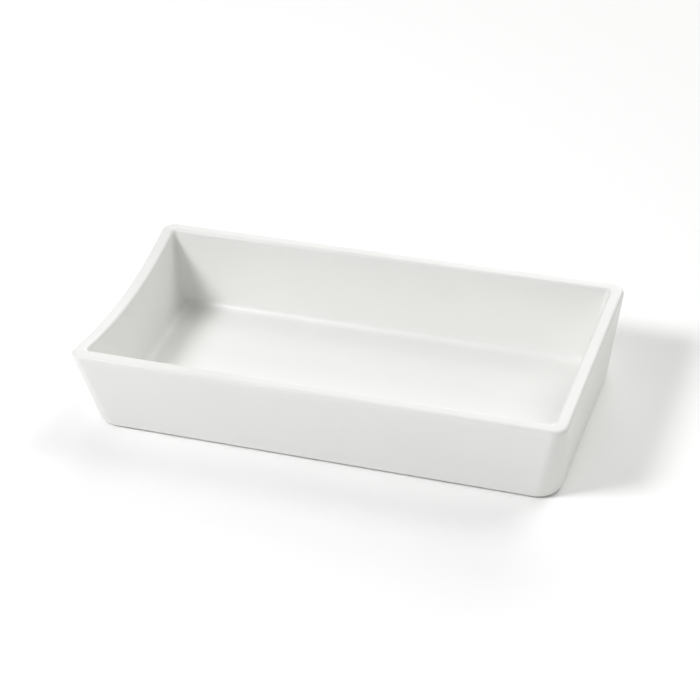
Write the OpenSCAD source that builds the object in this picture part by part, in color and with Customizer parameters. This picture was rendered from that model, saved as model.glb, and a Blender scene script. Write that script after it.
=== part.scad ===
// Porcelain spoon rest: a flared rectangular tray whose rim dips at one end for the spoon's handle.
// The handle end is at -X, +Z is up, and the origin is under the middle of the tray, on the table.

/* [Tray] */
// Length over the rim
rim_length = 200; // [160:1:260]
// Width over the rim
rim_width = 100; // [80:1:140]
// Height of the level rim above the table
rim_height = 36.5; // [30:0.5:50]
// Lean of the walls away from upright, in degrees
wall_flare = 7.5; // [4:0.5:12]
// Thickness of the walls, measured level, with the glaze on both sides
wall_thickness = 5.7; // [4.4:0.1:7]
// Thickness of the floor, with the glaze on both sides
floor_thickness = 2.4; // [2:0.1:6]

/* [Spoon saddle] */
// Depth of the dip in the rim
saddle_depth = 4.8; // [3:0.1:9]
// Radius of the shoulders that lead from the level rim into the dip
saddle_shoulder = 15; // [10:1:40]
// Level rim left between the dip and the outside of each long wall
saddle_margin = 1.8; // [1:0.2:20]

/* [Corners] */
// Outside corner radius at the rim
rim_corner = 5.5; // [3.5:0.5:10]
// Outside corner radius at the heel, where the walls turn under
heel_corner = 9.5; // [3.5:0.5:12]
// Inside corner radius at the rim
well_corner = 2; // [1:0.5:6]
// Corner radius of the flat part of the floor
floor_corner = 1; // [0.5:0.5:8]

/* [Edges] */
// Rounding of both edges of the lip
lip_round = 1.6; // [1:0.1:2]
// Rounding of the heel
heel_round = 1.2; // [0.8:0.1:2]
// Radius of the fillet between the walls and the floor
floor_fillet = 4; // [2:0.5:12]

/* [Foot ring] */
// Height of the underside above the table
foot_height = 0.6; // [0.5:0.1:3]
// Width of the ring that stands on the table
foot_width = 4; // [3:0.1:8]
// Distance from the heel to the outside of the ring
foot_inset = 3; // [2.5:0.1:10]
// Inside corner radius of the ring
foot_corner = 2; // [1:0.5:8]
// Bevel on both edges of the ring's bare face
foot_bevel = 0.3; // [0.1:0.1:0.4]

/* [Glaze] */
// Thickness of the fired glaze
glaze_thickness = 0.35; // [0.2:0.05:0.5]

/* [Smoothness] */
// Facets around each corner
corner_steps = 6; // [4:1:12]
// Facets across the handle end, an even number
saddle_steps = 20; // [12:2:40]
// Facets around each edge of the lip
lip_steps = 4; // [3:1:8]
// Facets around the heel
heel_steps = 3; // [2:1:6]
// Facets around the fillet of the floor
fillet_steps = 6; // [4:1:12]

/* [Hidden] */

bisque_color = [0.9, 0.88, 0.83];
glaze_color = [0.94, 0.94, 0.92];
base_color = [0.92, 0.92, 0.9];

floor_top = foot_height + floor_thickness;

// The dip is one large arc, tangent to a shoulder arc at each end
saddle_reach = rim_width / 2 - saddle_margin;
saddle_radius = (saddle_reach * saddle_reach / saddle_depth + saddle_depth) / 2 - saddle_shoulder;
shoulder_start = saddle_reach * saddle_radius / (saddle_radius + saddle_shoulder);

// Inside corner radius where the walls would meet the floor without a fillet
well_base_corner = floor_corner + floor_fillet * tan(45 - wall_flare / 2);

// How far the faces of the wall lie inside the rim's outline at height z
function outer_face(z) = lip_round * (1 - 1 / cos(wall_flare)) + (rim_height - lip_round - z) * tan(wall_flare);
function inner_face(z) = outer_face(z) + wall_thickness;

foot_outside = outer_face(foot_height) + foot_inset;
foot_inside = foot_outside + foot_width;

// Evenly spaced values from first to last
function spread(first, last, steps) = [for (i = [0:steps]) first + (last - first) * i / steps];

// Value at height z on a straight change from low_value at low_z to high_value at high_z
function blend(z, low_z, low_value, high_z, high_value) =
    low_value + (high_value - low_value) * (z - low_z) / (high_z - low_z);

function outer_corner(z) = blend(z, foot_height, heel_corner, rim_height, rim_corner);
function inner_corner(z) = blend(z, floor_top, well_base_corner, rim_height, well_corner);

// A section point holds its distance inside the rim's outline, its height and its corner radius
function outer_point(inset, z) = [inset, z, outer_face(z) + outer_corner(z) - inset];
function inner_point(inset, z) = [inset, z, inner_face(z) + inner_corner(z) - inset];
function foot_point(inset, z) = [inset, z, foot_inside + foot_corner - inset];

// Section points on an arc about [inset, z], on the outer or the inner side of the wall
function outer_arc(inset, z, radius, first, last, steps) =
    [for (a = spread(first, last, steps)) outer_point(inset - radius * cos(a), z + radius * sin(a))];
function inner_arc(inset, z, radius, first, last, steps) =
    [for (a = spread(first, last, steps)) inner_point(inset - radius * cos(a), z + radius * sin(a))];

// The four rounded edges of the wall's section, at a depth below the finished surface
function heel(depth) =
    let (z = foot_height + heel_round)
    outer_arc(outer_face(z) + heel_round / cos(wall_flare), z, heel_round - depth, -90, -wall_flare, heel_steps);

function lip_outside(rim, depth) =
    let (z = rim - lip_round)
    outer_arc(outer_face(z) + lip_round / cos(wall_flare), z, lip_round - depth, -wall_flare, 90, lip_steps);

function lip_inside(rim, depth) =
    let (z = rim - lip_round)
    inner_arc(inner_face(z) - lip_round / cos(wall_flare), z, lip_round - depth, 90, 180 - wall_flare, lip_steps);

function floor_curve(depth) =
    let (z = floor_top + floor_fillet)
    inner_arc(inner_face(z) + floor_fillet / cos(wall_flare), z, floor_fillet + depth, -wall_flare, -90, fillet_steps);

// The section from the foot ring, under the heel, over the lip and down to the flat of the floor
function wall_section(rim, depth) = concat(
    [foot_point(foot_outside, foot_height + depth)],
    heel(depth),
    lip_outside(rim, depth),
    lip_inside(rim, depth),
    floor_curve(depth)
);

// The bare foot ring, from the glazed recess under the tray to its outer side
function foot_section(depth) = [
    foot_point(foot_inside, foot_height + depth),
    foot_point(foot_inside, foot_bevel),
    foot_point(foot_inside - foot_bevel, 0),
    foot_point(foot_outside + foot_bevel, 0),
    foot_point(foot_outside, foot_bevel)
];

// Stations around the outline: the share of the half length and half width, and the corner angle
function corner_stations(x, y, first) = [for (a = spread(first, first + 90, corner_steps)) [x, y, a]];

stations = concat(
    corner_stations(1, 1, 0),
    corner_stations(-1, 1, 90),
    [for (i = [1:saddle_steps - 1]) [-1, 1 - 2 * i / saddle_steps, 180]],
    corner_stations(-1, -1, 180),
    corner_stations(1, -1, 270)
);

// A section point set in place at a station
function place(station, point) =
    let (radius = point[2])
    let (centre_x = rim_length / 2 - point[0] - radius)
    let (centre_y = rim_width / 2 - point[0] - radius)
    [
        station[0] * centre_x + radius * cos(station[2]),
        station[1] * centre_y + radius * sin(station[2]),
        point[1]
    ];

// Drop of the rim at a distance from the tray's middle line
function saddle_drop(y) =
    y >= saddle_reach ? 0
    : y > shoulder_start ? saddle_shoulder - sqrt(pow(saddle_shoulder, 2) - pow(saddle_reach - y, 2))
    : saddle_depth - saddle_radius + sqrt(pow(saddle_radius, 2) - y * y);

function rim_at(station) =
    let (y = abs(place(station, [0, rim_height, rim_corner]).y))
    station[0] > 0 ? rim_height : rim_height - saddle_drop(y);

function backwards(list) = [for (i = [len(list) - 1:-1:0]) list[i]];

// A solid skinned over one rib per station, closed by a flat face at both ends of the ribs
module loft(ribs) {
    points = [for (rib = ribs) each rib];
    rib_count = len(ribs);
    rib_size = len(ribs[0]);
    // Each patch between two ribs is split along its shorter diagonal
    sides = [
        for (j = [0:rib_count - 1], k = [0:rib_size - 2])
            let (a = j * rib_size + k)
            let (b = (j + 1) % rib_count * rib_size + k)
            each norm(points[a] - points[b + 1]) < norm(points[a + 1] - points[b])
                ? [[a, a + 1, b + 1], [a, b + 1, b]]
                : [[a, a + 1, b], [a + 1, b + 1, b]]
    ];
    bottom = [for (j = [0:rib_count - 1]) j * rib_size];
    top = [for (j = [rib_count - 1:-1:0]) j * rib_size + rib_size - 1];
    polyhedron(points, concat(sides, [bottom, top]));
}

// The fired body: floor, four walls, lip and foot ring in one piece
module porcelain_body() {
    color(bisque_color)
        loft([
            for (station = stations)
                let (rim = rim_at(station))
                [for (p = concat(foot_section(glaze_thickness), wall_section(rim, glaze_thickness))) place(station, p)]
        ]);
}

// The glaze over the well, the lip and the outside, down to the foot ring
module glaze_coat() {
    color(glaze_color)
        loft([
            for (station = stations)
                let (rim = rim_at(station))
                let (under = backwards(wall_section(rim, glaze_thickness)))
                [for (p = concat(under, wall_section(rim, 0))) place(station, p)]
        ]);
}

// The glaze in the recess inside the foot ring
module base_glaze() {
    outline = [for (station = stations) place(station, foot_point(foot_inside, foot_height))];
    color(base_color)
        translate([0, 0, foot_height])
            linear_extrude(glaze_thickness)
                polygon([for (p = outline) [p.x, p.y]]);
}

porcelain_body();
glaze_coat();
base_glaze();
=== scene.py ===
from math import cos, radians, sin, sqrt, tan

import bmesh
import bpy
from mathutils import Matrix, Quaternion, Vector


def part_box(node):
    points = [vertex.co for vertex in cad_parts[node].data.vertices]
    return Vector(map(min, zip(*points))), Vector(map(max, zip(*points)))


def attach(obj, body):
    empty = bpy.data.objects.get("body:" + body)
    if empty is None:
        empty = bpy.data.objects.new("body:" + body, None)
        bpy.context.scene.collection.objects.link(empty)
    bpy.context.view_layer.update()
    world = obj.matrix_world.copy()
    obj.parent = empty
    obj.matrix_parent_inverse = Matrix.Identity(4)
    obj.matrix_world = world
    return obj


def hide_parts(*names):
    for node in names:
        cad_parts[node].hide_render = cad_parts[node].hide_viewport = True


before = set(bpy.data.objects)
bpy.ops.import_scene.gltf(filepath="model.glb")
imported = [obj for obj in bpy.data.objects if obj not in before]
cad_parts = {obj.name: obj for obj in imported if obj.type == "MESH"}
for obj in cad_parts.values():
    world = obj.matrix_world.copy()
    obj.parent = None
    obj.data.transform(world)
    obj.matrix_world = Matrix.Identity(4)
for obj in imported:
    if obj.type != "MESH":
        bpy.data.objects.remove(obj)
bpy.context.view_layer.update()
print("frame loaded:", ", ".join(sorted(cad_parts)))

# sizes of the glazed skin in metres, all measured at its finished surface
glazeCoat = {
    "flare": radians(7.5),  # lean of the walls
    "wall": 0.0057,  # level thickness of a wall
    "floorTop": 0.003,  # top of the floor above the table
    "rimCorner": 0.0055,  # outside corner radius at the rim
    "heelCorner": 0.0095,  # outside corner radius where the wall turns under
    "wellCorner": 0.002,  # inside corner radius at the rim
    "floorCorner": 0.001,  # corner radius of the flat of the floor
    "footInset": 0.003,  # from the heel to the foot ring
    "footCorner": 0.006,  # outside corner radius of the foot ring
    "lipRound": 0.0016,
    "heelRound": 0.0012,
    "floorFillet": 0.004,
    "saddleDepth": 0.0048,  # dip in the rim at the handle end
    "saddleShoulder": 0.015,  # radius that leads into the dip
    "saddleMargin": 0.0018,  # level rim left at each side of the dip
    "thickness": 0.00035,  # fired glaze
    "clearance": 0.000005,  # keeps the smoother skin inside the solid's box
    "snap": 0.00001,  # points nearer than this are in line
    "cornerSteps": 12,
    "saddleSteps": 32,
    "roundSteps": 10,
}

lowCorner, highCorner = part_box("glaze_coat")
halfLength = highCorner[0] - glazeCoat["clearance"]
halfWidth = highCorner[1] - glazeCoat["clearance"]
rimHeight = highCorner[2]
underside = lowCorner[2]
flareSlope = tan(glazeCoat["flare"])
upperHalf = tan(radians(45) - glazeCoat["flare"] / 2)  # half the turn at the heel, inner lip and floor
lowerHalf = tan(radians(45) + glazeCoat["flare"] / 2)  # half the turn at the outer lip


def outerInset(height):  # how far the outer face lies inside the rim's outline
    lip = glazeCoat["lipRound"]
    return lip * (1 - 1 / cos(glazeCoat["flare"])) + (rimHeight - lip - height) * flareSlope


def innerInset(height):
    return outerInset(height) + glazeCoat["wall"]


def saddleDrop(across):  # drop of the rim at a distance from the middle line
    reach = halfWidth - glazeCoat["saddleMargin"]
    shoulder = glazeCoat["saddleShoulder"]
    depth = glazeCoat["saddleDepth"]
    sweep = (reach * reach / depth + depth) / 2 - shoulder
    if across >= reach:
        return 0
    if across > reach * sweep / (sweep + shoulder):
        return shoulder - sqrt(shoulder**2 - (reach - across) ** 2)
    return depth - sweep + sqrt(sweep**2 - across**2)


def addOutline(coat, name, inset, height, corner):
    bpy.ops.mesh.select_all(action="DESELECT")
    bpy.ops.mesh.primitive_plane_add(size=1, location=(0, 0, height))
    spread = (2 * (halfLength - inset), 2 * (halfWidth - inset), 1)
    bpy.ops.transform.resize(value=spread, center_override=(0, 0, height))
    bpy.ops.mesh.bevel(offset=corner, segments=glazeCoat["cornerSteps"], affect="VERTICES")
    bpy.ops.object.vertex_group_assign_new()
    coat.vertex_groups[-1].name = name
    bpy.ops.mesh.delete(type="ONLY_FACE")


def pickOutlines(coat, *names):
    bpy.ops.mesh.select_mode(type="VERT")
    bpy.ops.mesh.select_all(action="DESELECT")
    for name in names:
        coat.vertex_groups.active_index = coat.vertex_groups[name].index
        bpy.ops.object.vertex_group_select()


def pickHandleEnd(coat):  # the straight edges of every outline at the handle end
    bpy.ops.mesh.select_mode(type="EDGE")
    bpy.ops.mesh.select_all(action="DESELECT")
    mesh = bmesh.from_edit_mesh(coat.data)
    for edge in mesh.edges:
        first, last = (vert.co for vert in edge.verts)
        across = abs(first.x - last.x) < glazeCoat["snap"]
        straight = across and abs(first.y - last.y) > halfWidth
        edge.select_set(straight and first.x < 0)
    bmesh.update_edit_mesh(coat.data)


def outlineNeighbour(vert, weights, group):  # the vertex of another outline in the same column
    for edge in vert.link_edges:
        other = edge.other_vert(vert)
        if group in other[weights]:
            return other


def saddleMoves(coat):  # each rim vertex at the handle end slides down its own wall
    mesh = bmesh.from_edit_mesh(coat.data)
    weights = mesh.verts.layers.deform.verify()
    groups = {group.name: group.index for group in coat.vertex_groups}
    moves = []
    for vert in mesh.verts:
        if groups["rimOuter"] not in vert[weights] or vert.co.x > 0:
            continue
        drop = saddleDrop(abs(vert.co.y))
        if drop == 0:
            continue
        inner = outlineNeighbour(vert, weights, groups["rimInner"])
        heel = outlineNeighbour(vert, weights, groups["heel"])
        floorEdge = outlineNeighbour(inner, weights, groups["floor"])
        for top, foot in ((vert, heel), (inner, floorEdge)):
            slide = foot.co - top.co
            moves.append((top.index, slide * drop / -slide.z))
    return moves


def moveVertex(coat, index, step):
    bpy.ops.mesh.select_all(action="DESELECT")
    mesh = bmesh.from_edit_mesh(coat.data)
    mesh.verts.ensure_lookup_table()
    mesh.verts[index].select_set(True)
    bmesh.update_edit_mesh(coat.data)
    bpy.ops.transform.translate(value=step)


def weighOutline(coat, name, share):  # share of the widest rounding that this outline gets
    pickOutlines(coat, name)
    bpy.ops.mesh.select_mode(type="EDGE")
    bpy.ops.transform.edge_bevelweight(value=share)


def buildCoat():
    bpy.ops.object.select_all(action="DESELECT")
    bpy.ops.mesh.primitive_plane_add(size=1)
    coat = bpy.context.object
    coat.name = "glazedTray"
    bpy.ops.object.mode_set(mode="EDIT")
    bpy.ops.mesh.delete(type="VERT")
    floorTop = glazeCoat["floorTop"]
    heelInset = outerInset(underside)
    baseCorner = glazeCoat["floorCorner"] + glazeCoat["floorFillet"] * upperHalf
    outlines = (
        ("foot", heelInset + glazeCoat["footInset"], underside, glazeCoat["footCorner"]),
        ("heel", heelInset, underside, glazeCoat["heelCorner"]),
        ("rimOuter", outerInset(rimHeight), rimHeight, glazeCoat["rimCorner"]),
        ("rimInner", innerInset(rimHeight), rimHeight, glazeCoat["wellCorner"]),
        ("floor", innerInset(floorTop), floorTop, baseCorner),
    )
    # the outlines are bridged as a tall stack, then each is slid to its own height
    names = [outline[0] for outline in outlines]
    for level, (name, inset, height, corner) in enumerate(outlines):
        addOutline(coat, name, inset, level * rimHeight, corner)
    for lower, upper in zip(names, names[1:]):
        pickOutlines(coat, lower, upper)
        bpy.ops.mesh.bridge_edge_loops()
    for level, (name, inset, height, corner) in enumerate(outlines):
        pickOutlines(coat, name)
        bpy.ops.transform.translate(value=(0, 0, height - level * rimHeight))

    # the dip for the spoon's handle
    pickHandleEnd(coat)
    bpy.ops.mesh.subdivide(number_cuts=glazeCoat["saddleSteps"] - 1)
    bpy.ops.mesh.select_mode(type="VERT")
    for index, step in saddleMoves(coat):
        moveVertex(coat, index, step)

    # flat floor, then every edge rounded
    pickOutlines(coat, "floor")
    bpy.ops.mesh.edge_face_add()
    bpy.ops.mesh.select_all(action="SELECT")
    bpy.ops.mesh.normals_make_consistent(inside=False)
    roundings = {
        "rimOuter": glazeCoat["lipRound"] * lowerHalf,
        "rimInner": glazeCoat["lipRound"] * upperHalf,
        "heel": glazeCoat["heelRound"] * upperHalf,
        "floor": glazeCoat["floorFillet"] * upperHalf,
    }
    for name, offset in roundings.items():
        weighOutline(coat, name, offset / roundings["floor"])
    bpy.ops.object.mode_set(mode="OBJECT")
    edges = coat.modifiers.new("soft edges", "BEVEL")
    edges.limit_method = "WEIGHT"
    edges.width = roundings["floor"]
    edges.segments = glazeCoat["roundSteps"]
    edges.use_clamp_overlap = False
    bpy.ops.object.modifier_apply(modifier=edges.name)

    bpy.ops.object.shade_smooth()
    shell = coat.modifiers.new("fired glaze", "SOLIDIFY")
    shell.thickness = glazeCoat["thickness"]
    shell.offset = -1
    shell.use_even_offset = True
    bpy.ops.object.modifier_apply(modifier=shell.name)
    flats = coat.modifiers.new("even flats", "WEIGHTED_NORMAL")
    flats.keep_sharp = True
    bpy.ops.object.modifier_apply(modifier=flats.name)
    return coat


# how far the surface faces up where the glaze thins out or pools and where painted shade darkens it, 1
# being level
glazeFlowAndShade = {
    "steep": 0.2,  # the glaze keeps its even depth, and gets no painted shade, on anything steeper
    "lipTop": 0.6,  # thinnest glaze and fullest painted shade from here to the top of the lip
    "level": 0.97,  # the flat of the floor
}


def markGlazeAndShade(coat):  # below zero where the glaze is thin over the lip and painted shade darkens the lip top, above where it pools by the floor and painted shade darkens the crease
    layer = coat.data.attributes.new("glazeDepth", "FLOAT", "POINT")
    steep = glazeFlowAndShade["steep"]
    lipSpan = glazeFlowAndShade["lipTop"] - steep
    creaseSpan = (glazeFlowAndShade["level"] - steep) / 2
    depthAndShadeMarks = []
    for vert in coat.data.vertices:
        rise = vert.normal.z
        if vert.co.z > rimHeight / 2:
            depthAndShadeMarks.append(-min(max((rise - steep) / lipSpan, 0), 1))
        else:
            depthAndShadeMarks.append(max(min(rise - steep, glazeFlowAndShade["level"] - rise) / creaseSpan, 0))
    layer.data.foreach_set("value", depthAndShadeMarks)


tray = buildCoat()
markGlazeAndShade(tray)
print("glazed tray:", len(tray.data.polygons), "faces")


class Wire:  # a socket that can stand in a sum
    def __init__(self, tree, socket):
        self.tree = tree
        self.socket = socket

    def node(self, kind, settings=None, values=None, output=0):
        made = self.tree.nodes.new(kind)
        for name, value in (settings or {}).items():
            if name == "stops":
                setStops(made.color_ramp, value)
            else:
                setattr(made, name, value)
        for name, value in (values or {}).items():
            plug(self.tree, made.inputs[name], value)
        return Wire(self.tree, made.outputs[output])

    def math(self, operation, first, second):
        return self.node("ShaderNodeMath", {"operation": operation}, {0: first, 1: second})

    def __add__(self, other):
        return self.math("ADD", self, other)

    def __radd__(self, other):
        return self.math("ADD", other, self)

    def __sub__(self, other):
        return self.math("SUBTRACT", self, other)

    def __rsub__(self, other):
        return self.math("SUBTRACT", other, self)

    def __mul__(self, other):
        return self.math("MULTIPLY", self, other)

    def __rmul__(self, other):
        return self.math("MULTIPLY", other, self)


def setStops(ramp, stops):
    while len(ramp.elements) < len(stops):
        ramp.elements.new(1)
    for element, (place, value) in zip(ramp.elements, stops):
        element.position = place
        element.color = (value, value, value, 1)


def plug(tree, socket, value):
    if isinstance(value, Wire):
        tree.links.new(value.socket, socket)
    else:
        socket.default_value = value


def startFinish(name):
    finish = bpy.data.materials.new(name)
    finish.use_nodes = True
    surface = finish.node_tree.nodes["Principled BSDF"]
    place = finish.node_tree.nodes.new("ShaderNodeTexCoord")
    return finish, surface, Wire(finish.node_tree, place.outputs["Object"])


def noise(place, size, detail=2.0):  # soft blotches about size metres across
    return place.node("ShaderNodeTexNoise", None, {"Vector": place, "Scale": 1 / size, "Detail": detail})


def mixColour(place, factor, first, second):
    values = {0: factor, 6: first, 7: second}  # a Mix node keeps its colours at 6 and 7
    return place.node("ShaderNodeMix", {"data_type": "RGBA"}, values, 2)


def ramp(value, low, high):  # 0 up to low, 1 from high
    return value.node("ShaderNodeValToRGB", {"stops": ((low, 0), (high, 1))}, {"Fac": value})


def clamp(value):  # held between 0 and 1
    return value.node("ShaderNodeClamp", None, {"Value": value})


# satin white glaze
whiteGlaze = {
    "tone": (0.83, 0.828, 0.805, 1),
    "mottleTone": (0.819, 0.819, 0.795, 1),
    "thinAndShadeTone": (0.73, 0.725, 0.70, 1),  # the body shows through the thin glaze over the lip, darkened further as painted shade on the up-facing lip tops
    "poolAndShadeTone": (0.755, 0.765, 0.743, 1),  # in the crease round the floor: pooled glaze, and painted shade that dims the bright line of the crease
    "speckTone": (0.60, 0.57, 0.50, 1),
    "mottleShare": 0.8,
    "thinAndShadeShare": 0.5,
    "thinAndShadeMottle": 0.3,  # added where the glaze is mottled, to the thin glaze and painted shade on the lip
    "poolAndShadeShare": 0.6,
    "speckShare": 0.25,
    "roughness": 0.42,
    "smear": 0.06,  # spread of the roughness
    "poolGloss": 0.05,  # taken off the roughness in the crease
    "ior": 1.52,
    "mottleSize": 0.03,
    "mottleStart": 0.35,
    "mottleFull": 0.7,
    "smearSize": 0.012,
    "speckSpacing": 0.011,
    "speckCore": 0.012,  # in shares of the spacing
    "speckEdge": 0.022,
    "peelSize": 0.0035,
    "peelHeight": 0.000003,
    "waveSize": 0.028,
    "waveHeight": 0.000012,
}


def makeGlaze():
    finish, surface, place = startFinish("whiteGlaze")
    blotches = noise(place, whiteGlaze["mottleSize"], detail=3)
    mottle = ramp(blotches, whiteGlaze["mottleStart"], whiteGlaze["mottleFull"])
    spacing = {"Vector": place, "Scale": 1 / whiteGlaze["speckSpacing"]}
    cells = place.node("ShaderNodeTexVoronoi", None, spacing)
    speck = 1 - ramp(cells, whiteGlaze["speckCore"], whiteGlaze["speckEdge"])
    # this mark is below zero on the lip tops and above zero in the floor crease, where the tone is
    # darkened partly as painted shade
    depth = place.node("ShaderNodeAttribute", {"attribute_name": "glazeDepth"}, None, "Fac")
    # darker lip tops: thin glaze over the lip, and partly painted shade that dims the up-facing rims
    thinAndShade = clamp(0 - depth) * (whiteGlaze["thinAndShadeShare"] + whiteGlaze["thinAndShadeMottle"] * mottle)
    # darker floor crease: pooled glaze, and partly painted shade that dims its bright line; the gloss
    # taken off is the glaze's own
    poolAndShade = clamp(depth) * whiteGlaze["poolAndShadeShare"]
    mottle = mottle * whiteGlaze["mottleShare"]
    tone = mixColour(place, mottle, whiteGlaze["tone"], whiteGlaze["mottleTone"])
    tone = mixColour(place, thinAndShade, tone, whiteGlaze["thinAndShadeTone"])
    tone = mixColour(place, poolAndShade, tone, whiteGlaze["poolAndShadeTone"])
    tone = mixColour(place, speck * whiteGlaze["speckShare"], tone, whiteGlaze["speckTone"])
    plug(finish.node_tree, surface.inputs["Base Color"], tone)
    smoothest = whiteGlaze["roughness"] - whiteGlaze["smear"] / 2
    smear = noise(place, whiteGlaze["smearSize"]) * whiteGlaze["smear"] + smoothest
    plug(finish.node_tree, surface.inputs["Roughness"], smear - poolAndShade * whiteGlaze["poolGloss"])
    surface.inputs["IOR"].default_value = whiteGlaze["ior"]
    waves = noise(place, whiteGlaze["waveSize"], detail=0) * whiteGlaze["waveHeight"]
    peel = noise(place, whiteGlaze["peelSize"], detail=1) * whiteGlaze["peelHeight"]
    bump = place.node("ShaderNodeBump", None, {"Strength": 1, "Distance": 1, "Height": waves + peel})
    plug(finish.node_tree, surface.inputs["Normal"], bump)
    return finish


# bare fired clay of the foot ring
bareClay = {
    "tone": (0.72, 0.68, 0.60, 1),
    "scuffTone": (0.55, 0.52, 0.46, 1),
    "scuffShare": 0.6,
    "grainShare": 0.4,
    "roughness": 0.8,
    "scuffGloss": 0.15,  # taken off the roughness where the ring is scuffed
    "scuffSize": 0.006,
    "scuffStart": 0.5,
    "scuffFull": 0.75,
    "grainSize": 0.0006,
    "grainStart": 0.62,
    "grainFull": 0.72,
    "grainHeight": 0.00002,
}


def makeClay():
    finish, surface, place = startFinish("bareClay")
    grain = noise(place, bareClay["grainSize"], detail=4)
    rubs = noise(place, bareClay["scuffSize"], detail=4)
    scuff = ramp(rubs, bareClay["scuffStart"], bareClay["scuffFull"])
    pits = ramp(grain, bareClay["grainStart"], bareClay["grainFull"])
    tone = mixColour(place, scuff * bareClay["scuffShare"], bareClay["tone"], bareClay["scuffTone"])
    tone = mixColour(place, pits * bareClay["grainShare"], tone, bareClay["scuffTone"])
    plug(finish.node_tree, surface.inputs["Base Color"], tone)
    rough = bareClay["roughness"] - scuff * bareClay["scuffGloss"]
    plug(finish.node_tree, surface.inputs["Roughness"], rough)
    heights = {"Strength": 1, "Distance": 1, "Height": grain * bareClay["grainHeight"]}
    plug(finish.node_tree, surface.inputs["Normal"], place.node("ShaderNodeBump", None, heights))
    return finish


glazeFinish = makeGlaze()
clayFinish = makeClay()
tray.data.materials.append(glazeFinish)
for node, finish in (("base_glaze", glazeFinish), ("porcelain_body", clayFinish)):
    for slot in bpy.data.objects[node].material_slots:
        slot.material = finish
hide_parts("glaze_coat")
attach(tray, "root")
print("finishes: glaze and bare clay")

# pale table in an even surround
studio = {
    "tableSize": 12,
    "tableTone": (0.92, 0.918, 0.905, 1),
    "tableRoughness": 0.85,
    "tableSmear": 0.1,
    "tableGrain": 0.05,
    "tableGloss": 0.1,
    "surround": 0.22,  # strength of the even light from all round
}

# softboxes that face the tray, with height and bearing in degrees, bearing 0 at the plain end
coolTint = (0.965, 0.972, 1)
softboxes = {
    "key": {"size": 0.41, "distance": 1.4, "height": 47, "bearing": 220, "power": 12.9, "tint": coolTint},
    "farRight": {"size": 1.6, "distance": 3.5, "height": 50, "bearing": 45, "power": 40},
    "back": {"size": 3, "distance": 4, "height": 22, "bearing": 90, "power": 84},
    "backRight": {"size": 3, "distance": 4, "height": 22, "bearing": 40, "power": 5.5},
    "front": {"size": 1.2, "distance": 2, "height": 40, "bearing": 270, "power": 3.2},
}


def addSoftbox(name, box):
    height = radians(box["height"])
    bearing = radians(box["bearing"])
    outward = Vector((cos(bearing) * cos(height), sin(bearing) * cos(height), sin(height)))
    bpy.ops.object.light_add(type="AREA", location=outward * box["distance"])
    lamp = bpy.context.object
    lamp.name = name
    lamp.data.size = box["size"]
    lamp.data.energy = box["power"]
    lamp.data.color = box.get("tint", (1, 1, 1))
    lamp.rotation_euler = outward.to_track_quat("Z", "Y").to_euler()


def buildTable():
    bpy.ops.object.select_all(action="DESELECT")
    bpy.ops.mesh.primitive_plane_add(size=studio["tableSize"])
    table = bpy.context.object
    table.name = "table"
    finish, surface, place = startFinish("palePaper")
    surface.inputs["Base Color"].default_value = studio["tableTone"]
    smear = noise(place, studio["tableGrain"]) * studio["tableSmear"]
    plug(finish.node_tree, surface.inputs["Roughness"], smear + studio["tableRoughness"])
    surface.inputs["Specular IOR Level"].default_value = studio["tableGloss"]
    table.data.materials.append(finish)


photoCamera = {
    "lens": 106.78,  # millimetres, like the sensor
    "sensor": 36,
    "clipStart": 0.01,
    "azimuth": radians(21.32),
    "elevation": radians(35.86),
    "roll": radians(4.17),
    "distance": 0.82885,
    "target": (-0.00071, 0, 0.02146),
}


def buildCamera():
    azimuth = Quaternion((0, 0, 1), photoCamera["azimuth"])
    tilt = Quaternion((1, 0, 0), radians(90) - photoCamera["elevation"])
    roll = Quaternion((0, 0, 1), -photoCamera["roll"])
    aim = azimuth @ tilt
    place = Vector(photoCamera["target"]) + aim @ Vector((0, 0, photoCamera["distance"]))
    bpy.ops.object.camera_add(location=place)
    camera = bpy.context.object
    camera.rotation_euler = (aim @ roll).to_euler()
    camera.data.lens = photoCamera["lens"]
    camera.data.sensor_width = photoCamera["sensor"]
    camera.data.clip_start = photoCamera["clipStart"]
    bpy.context.scene.camera = camera


buildTable()
surround = bpy.data.worlds.new("surround")
surround.use_nodes = True
surround.node_tree.nodes["Background"].inputs["Color"].default_value = (1, 1, 1, 1)
surround.node_tree.nodes["Background"].inputs["Strength"].default_value = studio["surround"]
bpy.context.scene.world = surround
for name, box in softboxes.items():
    addSoftbox(name, box)
buildCamera()
bpy.context.scene.view_settings.view_transform = "Standard"
print("table, light and camera set")
